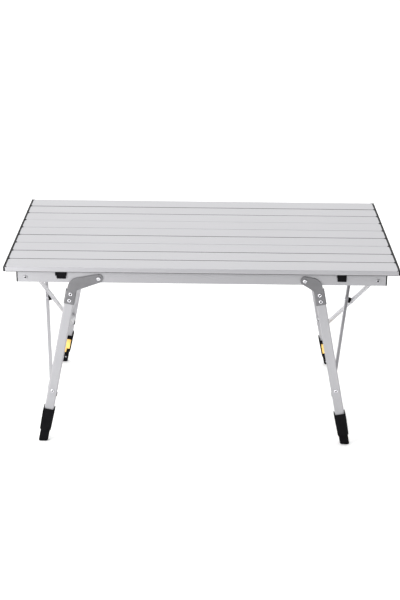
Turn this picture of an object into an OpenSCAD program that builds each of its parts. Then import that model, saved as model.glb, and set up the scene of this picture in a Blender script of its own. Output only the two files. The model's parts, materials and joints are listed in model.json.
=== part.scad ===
/* [Table top] */
// Length of the table top along X
table_l = 900; // [890:1:920]
// Width of the table top along Y
table_w = 530; // [525:1:545]
// Height of the table top above the floor, legs pushed in
table_h = 450; // [450:1:470]
// Thickness of a slat
slat_t = 11; // [11:0.5:12]
// Gap between neighbouring slats
slat_gap = 1.2; // [1:0.1:1.4]
// Wall of the slat extrusion
slat_wall = 1.5; // [1.2:0.1:2]
// Thickness of the plastic end cap on each slat
cap_t = 4; // [4:0.2:5]

/* [Rails] */
// Length of each rail, end plugs included
rail_l = 847; // [840:1:856]
// Thickness of a rail along Y
rail_t = 16; // [16:0.5:18]
// Height of a rail
rail_h = 31.5; // [31:0.2:33]
// Wall of the rails and of the leg tubes
tube_wall = 1.5; // [1.2:0.1:1.6]
// Distance from the centre plane to the outer face of a rail
rail_out_y = 245; // [243:0.5:247]
// Distance of the leg pivots from the middle of the rail
pivot_x = 235.5; // [230:0.5:240]
// Distance of the end pivots from the middle of the rail
end_pivot_x = 402.5; // [399:0.5:403]

/* [Legs] */
// Lean of the legs away from vertical, degrees
splay = 11.3; // [11:0.1:11.5]
// Offset of a left leg tube from the pivot, across the leg
left_offset = 56.2; // [55.8:0.1:57]
// Offset of a right leg tube from the pivot, across the leg
right_offset = 27.9; // [27.6:0.1:28]
// Width of an outer leg tube across the leg
leg_w = 22; // [21.5:0.1:22]
// Thickness of the steel leg bracket
bracket_t = 2.4; // [2:0.1:2.6]
// Thickness of the lock collar along Y
collar_t = 22; // [21:0.5:22]

/* [Cross braces] */
// Distance from the centre plane to a brace pivot
brace_y = 187.5; // [186:0.5:189]
// Distance from the pivot line at the rails down to the one on the legs
brace_h = 290; // [286:0.5:292]
// Width of a brace bar
bar_w = 8.5; // [8:0.1:9]
// Thickness of a brace bar
bar_t = 7; // [6.6:0.1:7.2]

/* [Hidden] */
$fn = 48;
SIDES = ["left", "right"];
ROWS = ["front", "rear"];
slat_count = 9;
CORNERS = [for (r = ROWS) for (s = SIDES) str(r, "_", s)];

ALU = "#d6d6d8";
STEEL = "#8f9093";
BLACK = "#1d1d1f";
YELLOW = "#f0b428";
BRIGHT = "#e4e4e6";

eps = 0.05;
fit = 0.1;
run = 0.05;
far = 200;

// Table top: nine slats side by side, hinged along their lower edges
pitch = table_w / slat_count;
slat_w = pitch - slat_gap;
slat_l = table_l - 2 * cap_t;
top_under_z = table_h - slat_t;
skin = 1.6;
lip = 9;
rib_w = 1.5;
rib_h = 5;
chamfer = 1;
hinge_z = top_under_z + 0.5;
knuckle_r = 3.5;
knuckle_clear = 0.4;
hinge_pin_r = 1.2;
layer_gap = 0.2;
layer_t = (cap_t - layer_gap) / 2;
tongue_l = 10;

// Rails: box tubes under the first and last slat
rail_top_z = top_under_z - 0.2;
rail_z = rail_top_z - rail_h;
rail_y = rail_out_y - rail_t / 2;
rail_in_y = rail_out_y - rail_t;
pivot_z = rail_z + 10.3;
end_pivot_z = rail_z + 11.5;
plug_flange = 3;
plug_depth = 10;
shank_r = 3;
head_r = 4.6;
head_t = 1.4;

// Legs: an outer tube on an angled bracket, an inner tube, a collar and a foot
leg_corner = 3;
inner_w = 18;
inner_t = 12;
inner_wall = 1.4;
inner_top = 85;
inner_end = 415;
leg_end = 395;
hole_pitch = 44;
bracket_gap = 0.2;
eye_r = 10;
elbow_r = 26;
arm_edge = 9.8;
flange_t = 1.4;
flange_h = 13;
channel_w = leg_w + 2 * (fit + flange_t);
bend_r = 4;
rivet_rows = [9, 25];
leg_rivet_r = 2;
leg_head_r = 4.4;
collar_top = 347.5;
collar_end = 404.5;
collar_w = 28;
collar_end_w = 26;
collar_cut = 357;
horn_h = 2;
horn_w = 3.6;
horn_tip = 1.6;
lever_w = 20;
lever_t = 3;
lever_top = 368;
lever_end = 404.2;
lever_step = 393;
lever_pin_r = 1.5;
lever_gap = 0.3;
ear_r = 3;
foot_w = 21.8;
foot_t = 15;

// Cross braces: the pivot lines run along Y, one at the rails and one on the legs
yoke_t = 6;
yoke_r = 8;
boss_l = 15.8;
stud_l = 12;
bar_n = yoke_t / 2 + 0.35 + bar_t / 2;
brace_pin_r = 2.5;
bar_eye_r = 6.5;
spacer_r = 7;
hook_w = 12;
hook_gap = 0.4;

// Latches on the outer faces of the rails
latch_x = 320;
latch_w = 20.4;
latch_h = 21.5;
latch_t = 4.2;
latch_tab = 4.2;
latch_tab_h = 14.6;
latch_travel = 8;

function is_left(s) = s == "left";
function leg_d(s) = is_left(s) ? left_offset : right_offset;
// Distances down the leg: the middle of the bracket's elbow, the top of its channel at the
// inner and at the outer edge, the end of the channel and the top of the tube
function elbow_s(s) = is_left(s) ? 33 : 22;
function inner_s(s) = is_left(s) ? 38.5 : 28;
function channel_s(s) = is_left(s) ? 43 : 30.5;
function bracket_end(s) = is_left(s) ? 75.5 : 65.5;
function tube_top(s) = channel_s(s) + 1.5;
// Distance of the brace plane beyond the end pivot line
function brace_off(s) = is_left(s) ? 2 : 7;
// In the X-Z plane, on the +X side: directions across and down the leg, and the vector
// from the top of the leg's axis to the end pivot
across = [cos(splay), sin(splay)];
down = [sin(splay), -cos(splay)];
function to_end(s) = [end_pivot_x - pivot_x, end_pivot_z - pivot_z] - leg_d(s) * across;
// Distance down the leg at which a brace of height brace_h reaches the leg's axis
function brace_s(s) = let (q = to_end(s), t = q * down) t + sqrt(brace_h ^ 2 - q * q + t ^ 2);
function brace_lean(s) = let (v = to_end(s) - brace_s(s) * down) atan2(v[0], v[1]);
function is_slat(i) = i >= 1 && i <= slat_count;
function slat_y(i) = (i - (slat_count + 1) / 2) * pitch;

// Children are drawn for the right rear corner and mirrored to the named corner, so their
// +X and +Y point away from the middle of the table
module at_side(s) {
    if (is_left(s)) mirror([1, 0, 0]) children();
    else children();
}
module at_row(r) {
    if (r == "front") mirror([0, 1, 0]) children();
    else children();
}
// Leg frame: origin on the pivot, X across the leg and outward, -Z down the leg
module leg_frame(r, s) {
    at_side(s) at_row(r) translate([pivot_x, 0, pivot_z]) rotate([0, -splay, 0]) children();
}
// Brace frame: origin on the end pivot line, X across the brace plane, -Z down it
module brace_frame(s) {
    at_side(s) translate([end_pivot_x, 0, end_pivot_z]) rotate([0, brace_lean(s), 0])
        children();
}
// Cylinder along +Y from y0 to y1
module y_cyl(r, y0, y1) {
    translate([0, y0, 0]) rotate([-90, 0, 0]) cylinder(r = r, h = y1 - y0);
}
// Cylinder along +X from x0 to x1
module x_cyl(r, x0, x1) {
    translate([x0, 0, 0]) rotate([0, 90, 0]) cylinder(r = r, h = x1 - x0);
}
// Box given by its ranges
module span(x, y, z) {
    translate([x[0], y[0], z[0]]) cube([x[1] - x[0], y[1] - y[0], z[1] - z[0]]);
}
// Straight strip with round ends between two points of a plane
module strip_2d(p, q, w) {
    d = q - p;
    translate(p) rotate(atan2(d[1], d[0])) translate([0, -w / 2]) square([norm(d), w]);
    translate(p) circle(d = w);
    translate(q) circle(d = w);
}
// Rectangle with its two corners at the far side in Y rounded
module round_front_2d(half, y0, y1, r) {
    translate([-half, y0]) square([2 * half, y1 - y0 - r]);
    translate([r - half, y0]) square([2 * (half - r), y1 - y0]);
    for (m = [-1, 1]) translate([m * (half - r), y1 - r]) circle(r = r);
}
// Low domed rivet head on a face at y0, towards +Y
module dome(r, y0, h) {
    y_cyl(r, y0, y0 + h * 0.5);
    y_cyl(r * 0.78, y0, y0 + h);
}

module slat_section() {
    w = slat_w / 2;
    difference() {
        polygon([[-w, slat_t], [w, slat_t], [w, chamfer], [w - chamfer, 0],
            [chamfer - w, 0], [-w, chamfer]]);
        translate([slat_wall - w, slat_wall])
            square([slat_w - 2 * slat_wall, slat_t - skin - slat_wall]);
        translate([lip - w, -1]) square([slat_w - 2 * lip, slat_wall + 2]);
    }
    translate([-rib_w / 2, slat_t - skin - rib_h]) square([rib_w, rib_h + eps]);
}
module slat(i) {
    color(ALU) translate([-slat_l / 2, slat_y(i), top_under_z]) rotate([90, 0, 90])
        linear_extrude(slat_l) slat_section();
}

// A cap has two layers: the outer one carries the knuckle on its +Y edge, the inner one
// the knuckle on its -Y edge, and each is cut back around its neighbour's knuckle
module cap_layer(i, outer) {
    x0 = slat_l / 2 + (outer ? layer_t + layer_gap : 0);
    own = outer ? 1 : -1;
    has_own = is_slat(i + own);
    has_other = is_slat(i - own);
    difference() {
        union() {
            span([x0, x0 + layer_t], [-slat_w / 2, slat_w / 2], [top_under_z, table_h]);
            if (has_own) {
                translate([0, own * pitch / 2, hinge_z]) x_cyl(knuckle_r, x0, x0 + layer_t);
                translate([0, own * (pitch / 2 - knuckle_r), 0])
                    span([x0, x0 + layer_t], [-knuckle_r, knuckle_r],
                        [top_under_z, hinge_z + knuckle_r]);
            }
        }
        if (has_other)
            translate([0, -own * pitch / 2, hinge_z])
                x_cyl(knuckle_r + knuckle_clear, x0 - 1, x0 + layer_t + 1);
        if (has_own && !outer)
            translate([0, own * pitch / 2, hinge_z])
                x_cyl(hinge_pin_r + fit, x0 - 1, x0 + layer_t + 1);
    }
}
module end_cap(i) {
    x_in = slat_l / 2;
    translate([0, slat_y(i), 0]) {
        cap_layer(i, false);
        span([x_in + layer_t - eps, x_in + layer_t + layer_gap + eps],
            [-slat_w / 2 + 8, slat_w / 2 - 8], [top_under_z, table_h]);
        cap_layer(i, true);
        if (i < slat_count)
            translate([0, pitch / 2, hinge_z])
                x_cyl(hinge_pin_r, x_in + 0.2, x_in + layer_t + layer_gap + eps);
        for (m = [-1, 1])
            translate([0, m * slat_w / 4, 0])
                span([x_in - tongue_l, x_in + eps], [-9, 9],
                    [top_under_z + slat_wall + 0.2, table_h - skin - 0.2]);
    }
}
module slat_caps(i) {
    color(BLACK) for (s = SIDES) at_side(s) end_cap(i);
}

module rail(r) {
    half = rail_l / 2 - plug_flange;
    color(ALU) at_row(r) difference() {
        span([-half, half], [rail_in_y, rail_out_y], [rail_z, rail_top_z]);
        span([-half - 1, half + 1], [rail_in_y + tube_wall, rail_out_y - tube_wall],
            [rail_z + tube_wall, rail_top_z - tube_wall]);
        for (m = [-1, 1]) {
            translate([m * pivot_x, 0, pivot_z])
                y_cyl(shank_r + run, rail_in_y - 1, rail_out_y + 1);
            translate([m * end_pivot_x, 0, end_pivot_z])
                y_cyl(shank_r + run, rail_in_y - 1, rail_out_y + 1);
            translate([m * (latch_x - latch_travel / 2), 0, rail_top_z - latch_h / 2])
                span([-8, 8], [rail_out_y - tube_wall - 1, rail_out_y + 1], [-2, 2]);
        }
    }
}
module rail_plugs(r) {
    half = rail_l / 2;
    inset = tube_wall + 0.2;
    color(BLACK) for (s = SIDES) at_side(s) at_row(r) {
        span([half - plug_flange, half], [rail_in_y, rail_out_y], [rail_z, rail_top_z]);
        span([half - plug_flange - plug_depth, half - plug_flange + eps],
            [rail_in_y + inset, rail_out_y - inset], [rail_z + inset, rail_top_z - inset]);
    }
}
module rail_rivets(r) {
    color(BRIGHT) for (s = SIDES) at_side(s) at_row(r) {
        translate([pivot_x, 0, pivot_z]) {
            y_cyl(shank_r, rail_in_y - eps, rail_out_y + bracket_t + 2 * bracket_gap + eps);
            dome(head_r, rail_out_y + bracket_t + 2 * bracket_gap, head_t);
            mirror([0, 1, 0]) dome(head_r, -rail_in_y, head_t);
        }
        translate([end_pivot_x, 0, end_pivot_z]) {
            y_cyl(shank_r, rail_in_y - stud_l, rail_out_y + eps);
            dome(head_r, rail_out_y, head_t);
        }
    }
}

module leg_tube(r, s) {
    d = leg_d(s);
    z = [-leg_end, -tube_top(s)];
    w = leg_w / 2;
    color(ALU) leg_frame(r, s) {
        difference() {
            translate([d, rail_y, z[0]]) linear_extrude(z[1] - z[0]) intersection() {
                round_front_2d(w, -rail_t, rail_t / 2, leg_corner);
                mirror([0, 1]) round_front_2d(w, -rail_t, rail_t / 2, leg_corner);
            }
            span([d - w + tube_wall, d + w - tube_wall],
                [rail_in_y + tube_wall, rail_out_y - tube_wall], [z[0] - 1, z[1] + 1]);
            for (e = rivet_rows)
                translate([d, 0, e - bracket_end(s)])
                    y_cyl(leg_rivet_r + run, rail_out_y - tube_wall - 1, rail_out_y + 1);
            translate([d, 0, -brace_s(s)])
                y_cyl(3.4, rail_in_y - 1, rail_in_y + tube_wall + 1);
        }
        translate([d, 0, -brace_s(s)]) dome(2.6, rail_out_y - eps, 0.9);
    }
}
// Arm of the bracket: an eye on the pivot and a wide elbow, cut straight from the eye to
// the inner edge of the channel
module arm_2d(s) {
    d = leg_d(s);
    inner = [d - channel_w / 2, -inner_s(s)];
    turn = atan2(inner[1], inner[0]) + asin(eye_r / norm(inner));
    along = [cos(turn), sin(turn)];
    below = [sin(turn), -cos(turn)];
    difference() {
        hull() {
            circle(r = eye_r, $fn = 64);
            translate([d + arm_edge - elbow_r, -elbow_s(s)]) circle(r = elbow_r, $fn = 96);
        }
        polygon([eye_r * below - 1.2 * along, inner, [inner[0], -far], [-far, -far]]);
        difference() {
            polygon([[0, 0], far * below, [-far, -far], [-far, 0]]);
            circle(r = eye_r + eps, $fn = 64);
        }
        translate([-far, -far]) square([2 * far, far - channel_s(s) - 1]);
    }
    translate([d, -channel_s(s) - 1]) square([arm_edge, channel_s(s) - elbow_s(s) + 1]);
}
// Pressed steel bracket with its two tube rivets
module leg_bracket(r, s) {
    d = leg_d(s);
    face = rail_out_y + bracket_gap;
    front = face + bracket_t;
    end = bracket_end(s);
    color(STEEL) leg_frame(r, s) difference() {
        union() {
            translate([0, front, 0]) rotate([90, 0, 0]) linear_extrude(bracket_t) arm_2d(s);
            translate([d, 0, -end]) linear_extrude(end - channel_s(s)) difference() {
                round_front_2d(channel_w / 2, face - flange_h, front, bend_r);
                round_front_2d(leg_w / 2 + fit, face - flange_h - 1, face,
                    bend_r - flange_t);
            }
        }
        y_cyl(shank_r + run, face - 1, front + 1);
        for (e = rivet_rows)
            translate([d, 0, e - end]) y_cyl(leg_rivet_r + run, face - 1, front + 1);
    }
    color(BRIGHT) leg_frame(r, s) for (e = rivet_rows) translate([d, 0, e - end]) {
        y_cyl(leg_rivet_r, rail_out_y - tube_wall, front + eps);
        dome(leg_head_r, front, 1.3);
    }
}
// Outline of the collar across the leg: two short horns beside the tube at the top, and
// sides that taper towards the foot
module collar_outline() {
    w = collar_w / 2;
    e = collar_end_w / 2;
    half = [[0, -collar_top - horn_h], [w - horn_w, -collar_top - horn_h],
        [w - horn_tip, -collar_top], [w - 0.6, -collar_top], [w, -collar_top - 8],
        [e, -collar_end + 3], [e - 1.5, -collar_end], [0, -collar_end]];
    polygon(half);
    mirror([1, 0]) polygon(half);
}
// Collar with lever ears, a bore for each tube and an inner wall that is cut down
module lock_collar(r, s) {
    d = leg_d(s);
    y0 = rail_y - collar_t / 2;
    y1 = rail_y + collar_t / 2;
    ear = lever_w / 2 + lever_gap;
    ear_t = 1.6;
    color(BLACK) leg_frame(r, s) difference() {
        union() {
            translate([d, y1, 0]) rotate([90, 0, 0]) linear_extrude(collar_t)
                collar_outline();
            for (m = [-1, 1])
                translate([d + m * (ear + ear_t / 2), y0 - lever_t / 2, -lever_top]) {
                    x_cyl(ear_r, -ear_t / 2, ear_t / 2);
                    span([-ear_t / 2, ear_t / 2], [0, lever_t / 2 + eps], [-ear_r, ear_r]);
                }
        }
        span([d - leg_w / 2 - fit, d + leg_w / 2 + fit],
            [rail_in_y - fit, rail_out_y + fit], [-leg_end - fit, 1 - collar_top]);
        span([d - inner_w / 2 - 0.4, d + inner_w / 2 + 0.4],
            [rail_y - inner_t / 2 - 0.4, rail_y + inner_t / 2 + 0.4],
            [-collar_end - 1, -leg_end]);
        span([d - leg_w / 2 - fit, d + leg_w / 2 + fit],
            [y0 - 1, rail_in_y], [-collar_cut, 1 - collar_top]);
        translate([d, y0 - lever_t / 2, -lever_top])
            x_cyl(lever_pin_r + run, -ear - ear_t - 1, ear + ear_t + 1);
        translate([d, 0, 4 - collar_end]) y_cyl(2, y0 - 1, rail_y);
    }
}
module lock_lever(r, s) {
    d = leg_d(s);
    y0 = rail_y - collar_t / 2 - lever_gap;
    color(YELLOW) leg_frame(r, s) {
        span([d - lever_w / 2, d + lever_w / 2], [y0 - lever_t, y0],
            [-lever_step, -lever_top]);
        span([d - 2.5, d + lever_w / 2], [y0 - lever_t, y0],
            [-lever_end, eps - lever_step]);
        translate([d, y0 + lever_gap - lever_t / 2, -lever_top])
            x_cyl(lever_pin_r, -lever_w / 2 - 1.6, lever_w / 2 + 1.6);
        translate([d, 0, 4 - collar_end]) y_cyl(1.7, y0 - 1, y0 + 2);
    }
}
module inner_tube(r, s) {
    d = leg_d(s);
    w = inner_w / 2;
    t = inner_t / 2;
    color(ALU) leg_frame(r, s) difference() {
        span([d - w, d + w], [rail_y - t, rail_y + t], [-inner_end, -inner_top]);
        span([d - w + inner_wall, d + w - inner_wall],
            [rail_y - t + inner_wall, rail_y + t - inner_wall],
            [-inner_end - 1, 1 - inner_top]);
        for (k = [0:5])
            translate([d, 0, 4 - collar_end + k * hole_pitch])
                y_cyl(2, rail_y - t - 1, rail_y);
    }
}
module foot(r, s) {
    d = leg_d(s);
    w = inner_w / 2 + fit;
    t = inner_t / 2 + fit;
    color(BLACK) difference() {
        leg_frame(r, s) difference() {
            span([d - foot_w / 2, d + foot_w / 2],
                [rail_y - foot_t / 2, rail_y + foot_t / 2], [-445, -collar_end - 0.3]);
            span([d - w, d + w], [rail_y - t, rail_y + t], [-inner_end - fit, 1 - collar_end]);
        }
        span([-table_l, table_l], [-table_w, table_w], [-50, 0]);
    }
}

module top_latch(r, s) {
    z = [rail_top_z - latch_h, rail_top_z - 0.1];
    y = rail_out_y + 0.3;
    zc = rail_top_z - latch_h / 2;
    color(BLACK) at_side(s) at_row(r) translate([latch_x, 0, 0]) {
        span([-latch_w / 2, latch_w / 2], [y, y + latch_t], z);
        if (is_left(s))
            span([-latch_w / 2 - 1.4, latch_w / 2 + latch_tab], [y, y + latch_t - 1],
                [z[1] - latch_tab_h, z[1]]);
        span([-3.8, 3.8], [rail_out_y - tube_wall - 1.5, y + eps], [zc - 1.85, zc + 1.85]);
        span([-3.8, 3.8], [rail_out_y - tube_wall - 3, rail_out_y - tube_wall - 0.2],
            [zc - 4, zc + 4]);
    }
}

// Yoke: a bored boss on the end stud and a flat tongue that carries the bar's pin
module yoke(r, s) {
    side = (r == "front") == (s == "left") ? -1 : 1;
    tip = bar_n + bar_t / 2 + 0.2;
    off = brace_off(s);
    boss_y = [rail_in_y - 0.2 - boss_l, rail_in_y - 0.2];
    color(BLACK) brace_frame(s) at_row(r) {
        difference() {
            union() {
                y_cyl(yoke_r, boss_y[0], boss_y[1]);
                span([0, off], [boss_y[0], boss_y[1] - 5], [-yoke_r + 0.5, yoke_r - 0.5]);
                translate([off - yoke_t / 2, 0, 0]) rotate([90, 0, 90])
                    linear_extrude(yoke_t)
                        strip_2d([brace_y, 0], [boss_y[0] + 2, 0], 2 * yoke_r - 1);
            }
            y_cyl(shank_r + run, rail_in_y - stud_l - 0.5, rail_in_y + 1);
        }
        translate([off, brace_y, 0]) {
            x_cyl(brace_pin_r, side > 0 ? 0 : -tip, side > 0 ? tip : 0);
            x_cyl(head_r, side > 0 ? tip : -tip - 1.6, side > 0 ? tip + 1.6 : -tip);
        }
    }
}
module bar_outline() {
    h = brace_h;
    difference() {
        union() {
            strip_2d([-brace_y, 0], [brace_y, -h], bar_w);
            translate([-brace_y, 0]) circle(r = bar_eye_r);
            translate([0, -h / 2]) circle(r = bar_eye_r);
            strip_2d([brace_y, -h], [rail_in_y - 10, -h], hook_w);
        }
        translate([-brace_y, 0]) circle(r = brace_pin_r + run);
    }
}
// Bar from the rail in row "top_row" down to the leg in the other row
module brace_bar(s, top_row) {
    h = brace_h;
    side = (top_row == "front") == (s == "left") ? -1 : 1;
    has_pin = top_row == "front";
    n = brace_off(s) + side * bar_n;
    color(ALU) brace_frame(s) at_row(top_row == "front" ? "rear" : "front") {
        difference() {
            translate([n - bar_t / 2, 0, 0]) rotate([90, 0, 90]) linear_extrude(bar_t)
                bar_outline();
            if (!has_pin)
                translate([n, 0, -h / 2])
                    x_cyl(brace_pin_r + run, -bar_t / 2 - 1, bar_t / 2 + 1);
        }
        span([min(-4.5, n - bar_t / 2), max(4.5, n + bar_t / 2)],
            [rail_in_y - 14, rail_in_y - hook_gap], [-h - hook_w / 2, -h + hook_w / 2]);
    }
    if (has_pin) color(BLACK) brace_frame(s) translate([brace_off(s), 0, -h / 2]) {
        tip = bar_n + bar_t / 2 + 0.2;
        x_cyl(spacer_r, -yoke_t / 2 - 0.1, yoke_t / 2 + 0.1);
        x_cyl(brace_pin_r, side < 0 ? -bar_n : -tip, side < 0 ? tip : bar_n);
        x_cyl(head_r, side < 0 ? tip : -tip - 1.6, side < 0 ? tip + 1.6 : -tip);
    }
}

for (i = [1:slat_count]) {
    slat(i);
    slat_caps(i);
}
for (r = ROWS) {
    rail(r);
    rail_plugs(r);
    rail_rivets(r);
    for (s = SIDES) {
        c = str(r, "_", s);
        leg_tube(r, s);
        leg_bracket(r, s);
        lock_collar(r, s);
        lock_lever(r, s);
        inner_tube(r, s);
        foot(r, s);
        top_latch(r, s);
    }
}
for (s = SIDES) {
    yoke("front", s);
    yoke("rear", s);
    brace_bar(s, "front");
    brace_bar(s, "rear");
}
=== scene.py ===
import json
import math

import bmesh
import bpy
from mathutils import Matrix, Vector


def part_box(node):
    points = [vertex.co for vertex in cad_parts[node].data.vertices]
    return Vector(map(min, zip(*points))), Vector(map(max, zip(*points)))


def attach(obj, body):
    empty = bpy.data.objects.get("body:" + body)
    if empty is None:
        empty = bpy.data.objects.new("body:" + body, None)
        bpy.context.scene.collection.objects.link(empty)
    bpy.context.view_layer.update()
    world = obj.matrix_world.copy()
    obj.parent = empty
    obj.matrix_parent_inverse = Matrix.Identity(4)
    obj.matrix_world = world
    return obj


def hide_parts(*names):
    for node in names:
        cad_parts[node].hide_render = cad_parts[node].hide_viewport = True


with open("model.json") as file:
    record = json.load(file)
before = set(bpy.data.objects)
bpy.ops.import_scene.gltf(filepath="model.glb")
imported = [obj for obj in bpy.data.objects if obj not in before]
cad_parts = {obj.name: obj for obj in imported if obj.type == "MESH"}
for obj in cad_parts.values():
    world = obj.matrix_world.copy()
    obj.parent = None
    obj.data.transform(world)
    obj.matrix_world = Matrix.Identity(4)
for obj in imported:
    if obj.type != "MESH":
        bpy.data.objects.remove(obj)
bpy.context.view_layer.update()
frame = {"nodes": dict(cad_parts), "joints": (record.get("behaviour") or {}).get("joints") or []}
nodes = frame["nodes"]
JOINTS = {j["name"]: j for j in frame["joints"]}
MM = 0.001
SIDES = ("left", "right")
ROWS = ("front", "rear")
SLATS = range(1, 10)


# ---------------------------------------------------------------- camera
# Place in metres and turns in degrees: to the left, down and about the line of sight
CAMERA_AT = (0.0038, -3.0817, 1.4587)
CAMERA_YAW, CAMERA_PITCH, CAMERA_ROLL = 0.146, 21.039, 0.612
# Sensor in millimetres, and the focal length as a multiple of the picture's height
SENSOR = 36
FOCAL = 1323.1 / 600


def make_camera():
    """Camera in front of the table, almost centred and looking down at it."""
    yaw, pitch, roll = (math.radians(a) for a in (CAMERA_YAW, CAMERA_PITCH, CAMERA_ROLL))
    right = Vector((math.cos(yaw), math.sin(yaw), 0))
    look = Vector((-math.sin(yaw) * math.cos(pitch), math.cos(yaw) * math.cos(pitch),
                   -math.sin(pitch)))
    up = right.cross(look)
    right, up = (math.cos(roll) * right + math.sin(roll) * up,
                 math.cos(roll) * up - math.sin(roll) * right)
    data = bpy.data.cameras.new("camera")
    data.sensor_width = SENSOR
    data.lens = SENSOR * FOCAL
    camera = bpy.data.objects.new("camera", data)
    bpy.context.scene.collection.objects.link(camera)
    turn = Matrix((right, up, -look)).transposed().to_4x4()
    camera.matrix_world = Matrix.Translation(CAMERA_AT) @ turn
    bpy.context.scene.camera = camera


make_camera()


# ---------------------------------------------------------------- materials
def new_material(name, colour, roughness, metallic=0.0):
    """A new material with plain values on its shader, and that shader."""
    mat = bpy.data.materials.new(name)
    mat.use_nodes = True
    shader = mat.node_tree.nodes["Principled BSDF"]
    shader.inputs["Base Color"].default_value = (*colour, 1)
    shader.inputs["Roughness"].default_value = roughness
    shader.inputs["Metallic"].default_value = metallic
    return mat, shader


# A Mix node's two colours among its inputs, and its colour among its outputs
MIX_A, MIX_B, MIX_RESULT = 6, 7, 2
# How much the grain and the rub marks of an extrusion change its tone
CONTRAST, RUB = 0.02, 0.03


class Graph:
    """Short calls for building a material's nodes."""

    def __init__(self, mat):
        self.tree = mat.node_tree

    def node(self, kind, **values):
        """A node with some of its settings."""
        n = self.tree.nodes.new(kind)
        for key, value in values.items():
            setattr(n, key, value)
        return n

    def link(self, a, b):
        self.tree.links.new(a, b)

    def coords(self, scale=(1, 1, 1)):
        """Object coordinates; a small scale stretches the pattern along that axis."""
        place = self.node("ShaderNodeTexCoord")
        mapping = self.node("ShaderNodeMapping")
        mapping.inputs["Scale"].default_value = scale
        self.link(place.outputs["Object"], mapping.inputs["Vector"])
        return mapping.outputs["Vector"]

    def noise(self, vector, scale, detail=3.0, rough=0.5):
        """Smooth noise from 0 to 1; scale is in waves per metre."""
        n = self.node("ShaderNodeTexNoise")
        n.inputs["Scale"].default_value = scale
        n.inputs["Detail"].default_value = detail
        n.inputs["Roughness"].default_value = rough
        self.link(vector, n.inputs["Vector"])
        return n.outputs["Fac"]

    def ramp(self, value, low, high, a=0.0, b=1.0):
        """Maps low to a and high to b, and holds the value outside them."""
        n = self.node("ShaderNodeMapRange")
        for key, v in zip(("From Min", "From Max", "To Min", "To Max"), (low, high, a, b)):
            n.inputs[key].default_value = v
        self.link(value, n.inputs["Value"])
        return n.outputs["Result"]

    def tint(self, value, dark, light):
        """A colour between dark, at 0, and light, at 1."""
        n = self.node("ShaderNodeMix", data_type="RGBA")
        n.inputs[MIX_A].default_value = (*dark, 1)
        n.inputs[MIX_B].default_value = (*light, 1)
        self.link(value, n.inputs[0])
        return n.outputs[MIX_RESULT]

    def math(self, op, a, b):
        """A sum, product or the like of two values or sockets."""
        n = self.node("ShaderNodeMath", operation=op)
        for i, v in enumerate((a, b)):
            if isinstance(v, (int, float)):
                n.inputs[i].default_value = v
            else:
                self.link(v, n.inputs[i])
        return n.outputs[0]

    def bump(self, height, shader, strength, distance):
        """Fine relief on the shader's normal; distance is in metres."""
        n = self.node("ShaderNodeBump")
        n.inputs["Strength"].default_value = strength
        n.inputs["Distance"].default_value = distance
        self.link(height, n.inputs["Height"])
        self.link(n.outputs["Normal"], shader.inputs["Normal"])


def grey(v):
    """The faintly blue grey of bare and painted metal."""
    return (v, v * 0.993, v * 1.035)


def brushed(name, level, roughness, grain, metallic=0.35):
    """Satin anodised extrusion: fine grain along one axis, faint patches and rub marks."""
    mat, shader = new_material(name, grey(level), roughness, metallic)
    g = Graph(mat)
    fine = g.noise(g.coords(grain), 260, 4, 0.6)
    broad = g.noise(g.coords(), 5, 3)
    specks = g.noise(g.coords((0.3, 1, 1)), 140, 2)
    mix = g.math("ADD", g.math("MULTIPLY", fine, 0.6), g.math("MULTIPLY", broad, 0.4))
    base = g.tint(g.ramp(mix, 0.36, 0.64), grey(level * (1 - CONTRAST)),
                  grey(level * (1 + CONTRAST)))
    worn = g.node("ShaderNodeMix", data_type="RGBA", blend_type="MULTIPLY")
    g.link(g.ramp(specks, 0.68, 0.8, 0.0, 0.5), worn.inputs[0])
    g.link(base, worn.inputs[MIX_A])
    worn.inputs[MIX_B].default_value = (*grey(1 - RUB), 1)
    g.link(worn.outputs[MIX_RESULT], shader.inputs["Base Color"])
    g.link(g.ramp(mix, 0.3, 0.7, roughness - 0.04, roughness + 0.06),
           shader.inputs["Roughness"])
    g.bump(fine, shader, 0.08, 0.0001)
    return mat


def coated_steel(name, level, roughness):
    """Grey powder-coated steel: fine orange-peel skin over a slightly uneven tone."""
    mat, shader = new_material(name, grey(level), roughness, 0.55)
    g = Graph(mat)
    skin = g.noise(g.coords(), 1400, 2)
    tone = g.noise(g.coords(), 45, 3)
    g.link(g.tint(g.ramp(tone, 0.35, 0.65), grey(level * 0.93), grey(level * 1.06)),
           shader.inputs["Base Color"])
    g.link(g.ramp(tone, 0.3, 0.7, roughness - 0.05, roughness + 0.06),
           shader.inputs["Roughness"])
    g.bump(skin, shader, 0.2, 0.00008)
    return mat


def moulded(name, colour, roughness, speckle=1500, specular=0.05):
    """Moulded plastic or rubber with a fine textured skin and a few rubbed patches."""
    mat, shader = new_material(name, colour, roughness)
    shader.inputs["Specular IOR Level"].default_value = specular
    g = Graph(mat)
    skin = g.noise(g.coords(), speckle, 2)
    patch = g.noise(g.coords(), 60, 4)
    light = tuple(min(1, c * 1.3 + 0.0015) for c in colour)
    g.link(g.tint(g.ramp(patch, 0.4, 0.7), colour, light), shader.inputs["Base Color"])
    g.link(g.ramp(patch, 0.3, 0.7, roughness - 0.06, roughness + 0.08),
           shader.inputs["Roughness"])
    g.bump(skin, shader, 0.25, 0.0001)
    return mat


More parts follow.
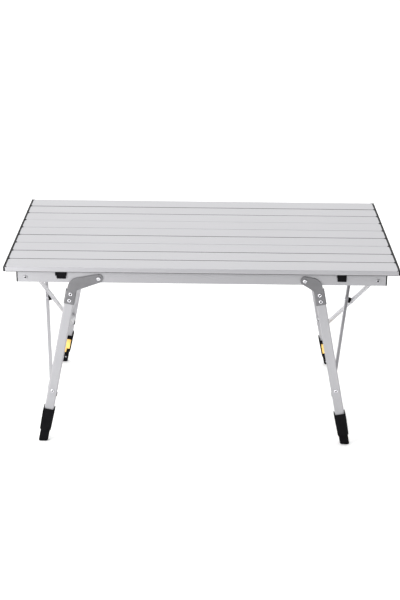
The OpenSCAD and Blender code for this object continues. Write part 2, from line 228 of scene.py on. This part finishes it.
# Direction of the grain
ALONG_X = (0.01, 1, 1)
ALONG_Z = (1, 1, 0.01)
NO_GRAIN = (1, 1, 1)
MATERIALS = {
    "slat": brushed("slat_alu", 0.32, 0.42, ALONG_X),
    "frame": brushed("frame_alu", 0.31, 0.40, ALONG_X),
    "leg": brushed("leg_alu", 0.325, 0.40, ALONG_Z),
    "bar": brushed("bar_alu", 0.385, 0.38, NO_GRAIN),
    "steel": coated_steel("bracket_grey", 0.15, 0.45),
    "rivet": brushed("rivet_metal", 0.80, 0.25, NO_GRAIN, 0.9),
    "dull": brushed("rivet_dull", 0.40, 0.4, NO_GRAIN),
    # Near-black floor of the rivet heads' shallow hollow: painted shade standing for a deep bore
    "bore_shade": coated_steel("rivet_core", 0.035, 0.5),
    "black": moulded("black_plastic", (0.0032, 0.003, 0.0038), 0.5),
    "rubber": moulded("foot_rubber", (0.0036, 0.0034, 0.0042), 0.65, 700, 0.04),
    "yellow": moulded("yellow_plastic", (0.84, 0.50, 0.13), 0.35, 1200, 0.4),
    # Near-black painted shade for the strips in the joints between slats and under the outer
    # slats' edges
    "shade_strip": brushed("seam_shadow", 0.012, 0.6, ALONG_X, 0.0),
}


# ---------------------------------------------------------------- where things are
class Corner:
    """One leg's own directions: across the leg, out of the table and up along the leg."""

    def __init__(self, row, side):
        self.name = f"{row}_{side}"
        self.row = row
        self.side = side
        self.pivot = Vector(JOINTS[f"{self.name}_leg_fold"]["pos_m"])
        self.up = -Vector(JOINTS[f"{self.name}_leg_extend"]["axis"])
        self.sx = math.copysign(1, self.pivot.x)
        self.sy = math.copysign(1, self.pivot.y)
        self.out = Vector((0, self.sy, 0))
        self.across = self.sx * Vector((self.up.z, 0, -self.up.x))
        lever = Vector(JOINTS[f"{self.name}_lever_pivot"]["pos_m"]) - self.pivot
        self.offset = lever.dot(self.across) / MM

    def at(self, across, depth, down):
        """A point: millimetres across and down the leg, and |y| in metres."""
        p = self.pivot + self.across * across * MM - self.up * down * MM
        return Vector((p.x, self.sy * depth, p.z))


CORNERS = [Corner(r, s) for r in ROWS for s in SIDES]


def outer_y(node):
    """Distance from the table's middle plane to a CAD part's outermost face."""
    low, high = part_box(node)
    return max(abs(low.y), abs(high.y))


def inner_y(node):
    """Distance from the table's middle plane to a CAD part's innermost face."""
    low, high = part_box(node)
    return min(abs(low.y), abs(high.y))


# ---------------------------------------------------------------- CAD parts
def soften(part, bevel, angle):
    """Rounds the edges sharper than an angle in degrees, by a radius in millimetres."""
    if bevel:
        edge = part.modifiers.new("edge", "BEVEL")
        edge.width = bevel * MM
        edge.segments = 3
        edge.limit_method = "ANGLE"
        edge.angle_limit = math.radians(angle)
    normals = part.modifiers.new("normals", "WEIGHTED_NORMAL")
    normals.keep_sharp = True


def dress(name, key, bevel):
    """Gives a carried-over CAD part its material and softened edges."""
    part = nodes[name]
    part.data.materials.clear()
    part.data.materials.append(MATERIALS[key])
    custom = part.data.attributes.get("custom_normal")
    if custom:
        part.data.attributes.remove(custom)
    for face in part.data.polygons:
        face.use_smooth = True
        face.material_index = 0
    weld = part.modifiers.new("weld", "WELD")
    weld.merge_threshold = 0.00001
    flat = part.modifiers.new("flat", "DECIMATE")
    flat.decimate_type = "DISSOLVE"
    flat.angle_limit = math.radians(0.5)
    flat.delimit = {"MATERIAL"}
    soften(part, bevel, 32)


def recolour(name, key, test):
    """Gives the faces of a CAD part whose centre passes the test another material."""
    part = nodes[name]
    part.data.materials.append(MATERIALS[key])
    index = len(part.data.materials) - 1
    for face in part.data.polygons:
        if test(face.center):
            face.material_index = index


def kind_of(name):
    """Material key and edge radius in millimetres for a CAD node."""
    for ending, key, bevel in (
            ("_caps", "black", 0.3), ("_rail", "frame", 0.7), ("_rail_plugs", "black", 0.7),
            ("_rail_rivets", "dull", 0.25), ("_leg_tube", "leg", 0.4),
            ("_leg_bracket", "steel", 0.45), ("_lock_collar", "black", 0.7),
            ("_lock_lever", "yellow", 0.6), ("_inner_tube", "leg", 0.5),
            ("_foot", "rubber", 0.6), ("_top_latch", "black", 0.6), ("_yoke", "black", 0.6),
            ("_brace_bar_a", "bar", 0.7), ("_brace_bar_b", "bar", 0.7)):
        if name.endswith(ending):
            return key, bevel
    return "slat", 0.7


# Millimetres: height of a pair of brace bars between its pins, half the gap between the
# bars, distance from the gap's middle beyond which there are only pin heads, radius around
# the crossing pin, and how far the bars lie off the plane through their pins
BRACE_H = 290
BAR_GAP = 3.2
BAR_FAR = 10.45
CROSSING_R = 8
BAR_SHIFT = {"left": 2, "right": 7}


def brace_plane(side):
    """Point and normal at the middle of a pair of bars."""
    end = Vector(JOINTS["frame_fold" if side == "left" else "right_front_yoke_pivot"]["pos_m"])
    normal = Vector(JOINTS[f"{side}_bar_a_pivot"]["axis"])
    if normal.x * end.x < 0:
        normal = -normal
    down = normal.cross(Vector((0, 1, 0)))
    if down.z > 0:
        down = -down
    middle = Vector((end.x, 0, end.z)) + down * BRACE_H / 2 * MM
    return middle, normal


def dress_braces(side):
    """Black spacers and bright pin heads on the bars and yokes of one end."""
    middle, normal = brace_plane(side)

    def height(p):
        """Distance in millimetres from the middle of the gap between the bars."""
        return abs((p - middle).dot(normal) / MM - BAR_SHIFT[side])

    def crossing(p):
        """Whether a point is close to the pin where the bars cross."""
        gap = p - middle
        return (gap - normal * gap.dot(normal)).length < CROSSING_R * MM

    recolour(f"{side}_brace_bar_a", "black", lambda p: crossing(p) and height(p) < BAR_GAP)
    recolour(f"{side}_brace_bar_a", "rivet", lambda p: crossing(p) and height(p) > BAR_FAR)
    for row in ROWS:
        recolour(f"{side}_{row}_yoke", "rivet", lambda p: height(p) > BAR_FAR)


for node_name in sorted(nodes):
    dress(node_name, *kind_of(node_name))
for end_side in SIDES:
    dress_braces(end_side)


# ---------------------------------------------------------------- building pieces
def add_piece(name, bm, keys, body, bevel=0.0, smooth=True):
    """Turns a finished bmesh in metres into a piece that rides on a CAD body."""
    bmesh.ops.recalc_face_normals(bm, faces=bm.faces)
    mesh = bpy.data.meshes.new(name)
    bm.to_mesh(mesh)
    bm.free()
    for key in keys:
        mesh.materials.append(MATERIALS[key])
    for face in mesh.polygons:
        face.use_smooth = smooth
    piece = bpy.data.objects.new(name, mesh)
    bpy.context.scene.collection.objects.link(piece)
    soften(piece, bevel, 35)
    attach(piece, body)
    return piece


def turned(bm, centre, axis, profile, scale=1.0, bore_shade=0, steps=28):
    """Adds a lathe-turned form: profile is (radius, height) in mm, from the middle out.
    Faces of the first rings, their count given after the scale, take the second material:
    near-black, the painted shade of a rivet's deep bore."""
    axis = axis.normalized()
    side = axis.orthogonal().normalized()
    other = axis.cross(side)
    rings = []
    for radius, height in profile:
        at = centre + axis * height * scale * MM
        if radius == 0:
            rings.append([bm.verts.new(at)])
            continue
        reach = radius * scale * MM
        rings.append([bm.verts.new(at + reach * (math.cos(a) * side + math.sin(a) * other))
                      for a in (2 * math.pi * k / steps for k in range(steps))])
    for r, (inner, outer) in enumerate(zip(rings, rings[1:])):
        for k in range(steps):
            after = (k + 1) % steps
            if len(inner) == 1:
                face = bm.faces.new((inner[0], outer[k], outer[after]))
            else:
                face = bm.faces.new((inner[k], outer[k], outer[after], inner[after]))
            face.material_index = 1 if r < bore_shade else 0


# Head of a tubular rivet: a hollow, a rolled rim and a flank down to the sheet
RIVET = ((0, 1.46), (2.1, 1.46), (2.35, 1.7), (2.6, 2.25), (3.0, 2.5), (3.6, 2.35),
         (4.35, 1.7), (4.8, 0.9), (4.95, 0.3), (4.95, -0.3))
# Rings of the rivet profile whose faces take the near-black painted shade of the bore
BORE_SHADE_RINGS = 2
# Sizes of the heads against that profile
STUD_HEAD, BRACKET_RIVET, LEG_RIVET, PIN_HEAD = 0.97, 0.93, 0.85, 0.4
# Millimetres: how far the heads of the CAD rivets on the bracket and on the leg stand out,
# and places down the leg of the bracket rivets and of the brace hooks
BRACKET_HEAD = 1.3
LEG_HEAD = 0.85
RIVETS_DOWN = {"left": (50.5, 66.5), "right": (40.5, 56.5)}
HOOK_DOWN = {"left": 300.8, "right": 287.6}


def rail_rivets(row):
    """Heads of the leg rivets, bright, and of the brace studs, dull, on one rail."""
    heads = bmesh.new()
    studs = bmesh.new()
    stud_y = outer_y(f"{row}_rail")
    for corner in CORNERS:
        if corner.row != row:
            continue
        face = outer_y(f"{corner.name}_leg_bracket") - BRACKET_HEAD * MM
        turned(heads, Vector((corner.pivot.x, corner.sy * face, corner.pivot.z)), corner.out,
               RIVET, 1.0, BORE_SHADE_RINGS)
        end = Vector(JOINTS["frame_fold"]["pos_m"])
        turned(studs, Vector((corner.sx * abs(end.x), corner.sy * stud_y, end.z)),
               corner.out, RIVET, STUD_HEAD, BORE_SHADE_RINGS)
    add_piece(f"{row}_leg_rivet_heads", heads, ("rivet", "bore_shade"), f"{row}_rail")
    add_piece(f"{row}_brace_stud_heads", studs, ("dull", "bore_shade"), f"{row}_rail")


def leg_rivets(corner):
    """Two rivet heads on the bracket and one, small, for the catch of the brace hook."""
    bm = bmesh.new()
    face = outer_y(f"{corner.name}_leg_bracket") - BRACKET_HEAD * MM
    for down in RIVETS_DOWN[corner.side]:
        turned(bm, corner.at(corner.offset, face, down), corner.out, RIVET, BRACKET_RIVET,
               BORE_SHADE_RINGS)
    face = outer_y(f"{corner.name}_leg_tube") - LEG_HEAD * MM
    turned(bm, corner.at(corner.offset, face, HOOK_DOWN[corner.side]), corner.out, RIVET,
           LEG_RIVET, BORE_SHADE_RINGS)
    add_piece(f"{corner.name}_leg_rivet_heads", bm, ("rivet", "bore_shade"), f"{corner.name}_leg")


def rounded_outline(width, height, radius, steps=5):
    """Corner-rounded rectangle as a list of (a, b) points about its middle."""
    points = []
    for k, (sa, sb) in enumerate(((1, 1), (-1, 1), (-1, -1), (1, -1))):
        for i in range(steps + 1):
            angle = math.pi / 2 * (k + i / steps)
            points.append((sa * (width / 2 - radius) + radius * math.cos(angle),
                           sb * (height / 2 - radius) + radius * math.sin(angle)))
    return points


def loft(bm, rings):
    """Skins rings of points, in metres, and closes both ends."""
    made = [[bm.verts.new(p) for p in ring] for ring in rings]
    count = len(made[0])
    for a, b in zip(made, made[1:]):
        for k in range(count):
            bm.faces.new((a[k], a[(k + 1) % count], b[(k + 1) % count], b[k]))
    bm.faces.new(list(reversed(made[0])))
    bm.faces.new(made[-1])


def bar(bm, x0, x1, outline):
    """Runs an outline of (y, z) points in metres from one x to another."""
    loft(bm, [[Vector((x, y, z)) for y, z in outline] for x in (x0, x1)])


# Width, height and corner radius in millimetres
CATCH_PLATE = (13, 34, 5)
CATCH_BUTTON = (6.5, 12, 3.2)
# Millimetres from the hook: the plate's middle below it, the button's middle below it and
# to its side
PLATE_BELOW, BUTTON_BELOW, BUTTON_ASIDE = 7, 15, 9
BUTTON_KEY = {"left": "black", "right": "dull"}


def hook_catch(corner):
    """Pressed plate on the leg's inner face, with the button that frees the hook."""
    face = inner_y(f"{corner.name}_leg_tube")
    down = HOOK_DOWN[corner.side]

    def raised(outline, aside, below, layers):
        """A form on the leg's face; each layer is (share of the outline, height in mm)."""
        bm = bmesh.new()
        loft(bm, [[corner.at(corner.offset - aside + grow * a, face - d * MM,
                             down + below - grow * b) for a, b in outline]
                  for grow, d in layers])
        return bm

    plate = raised(rounded_outline(*CATCH_PLATE), 0, PLATE_BELOW,
                   ((1, -0.2), (1, 0.6), (0.93, 1.0)))
    add_piece(f"{corner.name}_hook_catch", plate, ("leg",), f"{corner.name}_leg")
    button = raised(rounded_outline(*CATCH_BUTTON), BUTTON_ASIDE, BUTTON_BELOW,
                    ((1, 0.2), (1, 3.6), (0.9, 4.4), (0.7, 4.7)))
    add_piece(f"{corner.name}_catch_button", button, (BUTTON_KEY[corner.side],),
              f"{corner.name}_leg")


# Millimetres down the leg to the lower end of the lock collar and to the foot's pin, the
# foot's distance from the collar, and the pin's distance to the side
COLLAR_END = 404.5
PIN_DOWN = 421
FOOT_GAP = 0.4
PIN_ASIDE = 4
# Millimetres: a foot's width and corner radius, and the radius around its sole
FOOT_W = 21.8
FOOT_R = 3.2
SOLE_R = 4.5
# Share of the foot's outline at depths in millimetres below its top: a rounded top, a band,
# a groove and the body
FOOT_RINGS = ((0.9, 0), (0.97, 0.4), (1, 1.2), (1, 5), (0.965, 5.4), (0.965, 6.6), (1, 7.0),
              (1, 10))
SOLE_STEPS = 7


def foot(corner):
    """Rubber foot: a rounded sleeve whose sole is cut level and rounded at its edge."""
    name = f"{corner.name}_foot"
    low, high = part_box(name)
    middle = (abs(low.y) + abs(high.y)) / 2
    depth = abs(high.y - low.y) / MM
    top = COLLAR_END + FOOT_GAP
    outline = rounded_outline(FOOT_W, depth, FOOT_R)
    floor_down = corner.pivot.z / corner.up.z / MM

    def sole(a):
        """Distance down the leg at which the floor is reached, a mm across it."""
        return floor_down + a * corner.across.z / corner.up.z

    rings = [[corner.at(corner.offset + grow * a, middle + grow * b * MM, top + d)
              for a, b in outline] for grow, d in FOOT_RINGS]
    for k in range(SOLE_STEPS):
        turn = math.pi / 2 * k / (SOLE_STEPS - 1)
        inset = SOLE_R * (1 - math.cos(turn))
        grow_a = 1 - 2 * inset / FOOT_W
        grow_b = 1 - 2 * inset / depth
        rings.append([corner.at(corner.offset + grow_a * a, middle + grow_b * b * MM,
                                sole(corner.offset + grow_a * a) - SOLE_R * (1 - math.sin(turn)))
                      for a, b in outline])
    bm = bmesh.new()
    loft(bm, rings)
    piece = add_piece(f"{corner.name}_rubber_foot", bm, ("rubber",),
                      f"{corner.name}_extension")
    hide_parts(name)
    pin = bmesh.new()
    turned(pin, corner.at(corner.offset - PIN_ASIDE, inner_y(name), PIN_DOWN), -corner.out,
           RIVET, PIN_HEAD, BORE_SHADE_RINGS)
    add_piece(f"{corner.name}_foot_pin", pin, ("rivet", "bore_shade"),
              f"{corner.name}_extension")


# Grip ridges of a latch, in millimetres: spacing, height of their middle above the latch's
# lower edge, (width, height, corner radius) of one, and width of the part that carries them
RIB_STEP = 3.2
RIB_UP = 6.5
RIB = (1.3, 8.5, 0.6)
LATCH_FACE_W = 20.4


def latch_ribs(corner):
    """Grip ridges across the face of a top latch."""
    name = f"{corner.name}_top_latch"
    low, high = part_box(name)
    face = outer_y(name)
    joint = JOINTS[f"{corner.name}_latch_slide"]
    spare = high.x - low.x - LATCH_FACE_W * MM
    x_mid = (low.x + high.x) / 2 - joint["axis"][0] * spare / 2
    bm = bmesh.new()
    for k in range(-2, 3):
        x = x_mid + k * RIB_STEP * MM
        loft(bm, [[Vector((x + a * MM * grow, corner.sy * (face + d * MM),
                           low.z + RIB_UP * MM + b * MM * grow))
                   for a, b in rounded_outline(*RIB)]
                  for grow, d in ((1, -0.2), (1, 0.35), (0.8, 0.6))])
    add_piece(f"{corner.name}_latch_ribs", bm, ("black",), name)


# Painted shade in the joints between slats: material of each joint's strip, its depth below
# the table top and its reach over the slats' edges in millimetres, from the front joint back.
# The near-black strips stand for the shade in the gaps. The sixth is slat-coloured and lies
# deeper, so that joint shows only a faint line
SHADE_STRIPS = (("shade_strip", -0.1, 0.85), ("shade_strip", -0.1, 0.95), ("shade_strip", 0.7, 0.2), ("shade_strip", -0.1, 1),
         ("shade_strip", 0.7, 0.2), ("slat", 0.3, 0.2), ("shade_strip", -0.1, 0.45), ("shade_strip", -0.1, 1.35))
# Millimetres: a shade strip's distance from the slats beside it, its height and its lips' depth
SLACK = 0.1
SHADE_STRIP_H = 5
LIP_T = 0.6
# Outline in millimetres of the near-black strip under an outer slat's edge, back from the slat's
# edge and down
# from its underside: a painted shadow of the slat's overhang on the rail below
PAINTED_SHADOW_LIP = ((1.3, -0.5), (1.3, 0.8), (1.5, 1.0), (2.6, 1.0), (2.8, 0.8), (2.8, -0.5))
# Cap lips, in millimetres: reach over the slat at distances from the slat's edge, lower and
# upper face against the slat's top, and distance from the cap's outer end
CAP_REACH = ((0, 4.6), (2, 4.2), (4, 2), (7, 1.3))
CAP_LIP_Z = (-0.5, 0.22)
CAP_INSET = 0.4


def shade_strip(k, key, depth, reach):
    """Near-black strip of painted shade in a joint between slats, with two small lips over the
    slats' rounded edges.
    """
    near, far = sorted((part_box(f"slat_{k}"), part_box(f"slat_{k + 1}")), key=lambda b: b[0].y)
    y0, y1 = near[1].y + SLACK * MM, far[0].y - SLACK * MM
    top = near[1].z
    neck = top - (depth + LIP_T) * MM
    foot_z = top - SHADE_STRIP_H * MM
    outline = [(y0 - reach * MM, top - depth * MM), (y1 + reach * MM, top - depth * MM),
               (y1, neck), (y1, foot_z), (y0, foot_z), (y0, neck)]
    bm = bmesh.new()
    bar(bm, near[0].x + MM, near[1].x - MM, outline)
    add_piece(f"slat_{k}_seam", bm, (key,), f"slat_{k}", smooth=False)


def painted_shadow_lip(k):
    """Near-black strip under the outer edge of the first or last slat: a painted shadow of the
    slat's overhang on the rail.
    """
    low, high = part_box(f"slat_{k}")
    side, edge = (-1, low.y) if low.y < 0 else (1, high.y)
    bm = bmesh.new()
    bar(bm, low.x + MM, high.x - MM,
        [(edge - side * back * MM, low.z - down * MM) for back, down in PAINTED_SHADOW_LIP])
    add_piece(f"slat_{k}_edge_lip", bm, ("shade_strip",), f"slat_{k}", smooth=False)


def cap_lips(k):
    """Lips of the two end caps that wrap over a slat's ends and, wider, its corners."""
    low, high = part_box(f"slat_{k}")
    cap_low, cap_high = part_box(f"slat_{k}_caps")
    bm = bmesh.new()
    middle, half = (low.y + high.y) / 2, (high.y - low.y) / 2 - 0.05 * MM
    for end, cap_end in ((low.x, cap_low.x), (high.x, cap_high.x)):
        inward = math.copysign(1, -end)
        start = cap_end + inward * CAP_INSET * MM
        shape = [(start, half), (start, -half)]
        shape += [(end + inward * reach * MM, -half + y * MM) for y, reach in CAP_REACH]
        shape += [(end + inward * reach * MM, half - y * MM) for y, reach in CAP_REACH[::-1]]
        loft(bm, [[Vector((x, middle + y, high.z + z * MM)) for x, y in shape]
                  for z in CAP_LIP_Z])
    add_piece(f"slat_{k}_cap_lips", bm, ("black",), f"slat_{k}", 0.15)


for table_row in ROWS:
    rail_rivets(table_row)
for slat_no in SLATS:
    cap_lips(slat_no)
for slat_no in (SLATS[0], SLATS[-1]):
    painted_shadow_lip(slat_no)
for strip_no, strip_values in enumerate(SHADE_STRIPS, 1):
    shade_strip(strip_no, *strip_values)
for leg_corner in CORNERS:
    leg_rivets(leg_corner)
    hook_catch(leg_corner)
    foot(leg_corner)
    latch_ribs(leg_corner)


# ---------------------------------------------------------------- stage and light
def make_floor():
    """Large pale floor."""
    mesh = bpy.data.meshes.new("floor")
    far = 40
    mesh.from_pydata([(-far, -far, 0), (far, -far, 0), (far, far, 0), (-far, far, 0)], [],
                     [(0, 1, 2, 3)])
    floor = bpy.data.objects.new("floor", mesh)
    bpy.context.scene.collection.objects.link(floor)
    mat, shader = new_material("floor", (0.97, 0.97, 0.97), 1.0)
    shader.inputs["Specular IOR Level"].default_value = 0.0
    mesh.materials.append(mat)


def add_area(name, place, target, size, power):
    """Round lamp, in metres and watts, that lights things but isn't seen itself."""
    data = bpy.data.lights.new(name, "AREA")
    data.shape = "DISK"
    data.size = size
    data.energy = power
    lamp = bpy.data.objects.new(name, data)
    bpy.context.scene.collection.objects.link(lamp)
    lamp.location = place
    lamp.rotation_euler = (Vector(target) - Vector(place)).to_track_quat("-Z", "Y").to_euler()
    lamp.visible_camera = False


def make_world(level, lean, least):
    """White surroundings: seen as white, and giving more light from one direction.
    The light's strength is level, plus the share along lean, and at least least."""
    world = bpy.data.worlds.new("studio")
    world.use_nodes = True
    tree = world.node_tree

    def combine(kind, operation, a, b):
        """A maths node of two sockets or values."""
        n = tree.nodes.new(kind)
        n.operation = operation
        for socket, v in zip(n.inputs, (a, b)):
            if isinstance(v, bpy.types.NodeSocket):
                tree.links.new(v, socket)
            else:
                socket.default_value = v
        return n

    place = tree.nodes.new("ShaderNodeTexCoord")
    rays = tree.nodes.new("ShaderNodeLightPath")
    along = combine("ShaderNodeVectorMath", "DOT_PRODUCT", place.outputs["Generated"], lean)
    total = combine("ShaderNodeMath", "ADD", along.outputs["Value"], level)
    lowest = combine("ShaderNodeMath", "ADD", rays.outputs["Is Camera Ray"], least)
    strength = combine("ShaderNodeMath", "MAXIMUM", total.outputs[0], lowest.outputs[0])
    back = tree.nodes["Background"]
    back.inputs["Color"].default_value = (1, 1, 1, 1)
    tree.links.new(strength.outputs[0], back.inputs["Strength"])
    bpy.context.scene.world = world


make_floor()
make_world(0.98, (-0.8, 0.95, 0.6), 0.05)
for lamp_values in (
        ("key", (-0.80, -0.80, 0.47), (-0.46, -0.25, 0.42), 0.2, 4.6),
        ("front", (-0.1, -1.85, 1.36), (-0.05, -0.25, 0.30), 0.25, 12),
        ("low", (0.44, -0.62, 0.08), (0.42, -0.24, 0.07), 0.12, 0.22),
        ("under", (0, -0.15, 0.12), (0, 0.25, 0.24), 0.3, 1.2),
        ("side", (0.1, 0, 0.2), (0.42, 0, 0.25), 0.15, 0.17)):
    add_area(*lamp_values)
bpy.context.scene.view_settings.view_transform = "Standard"
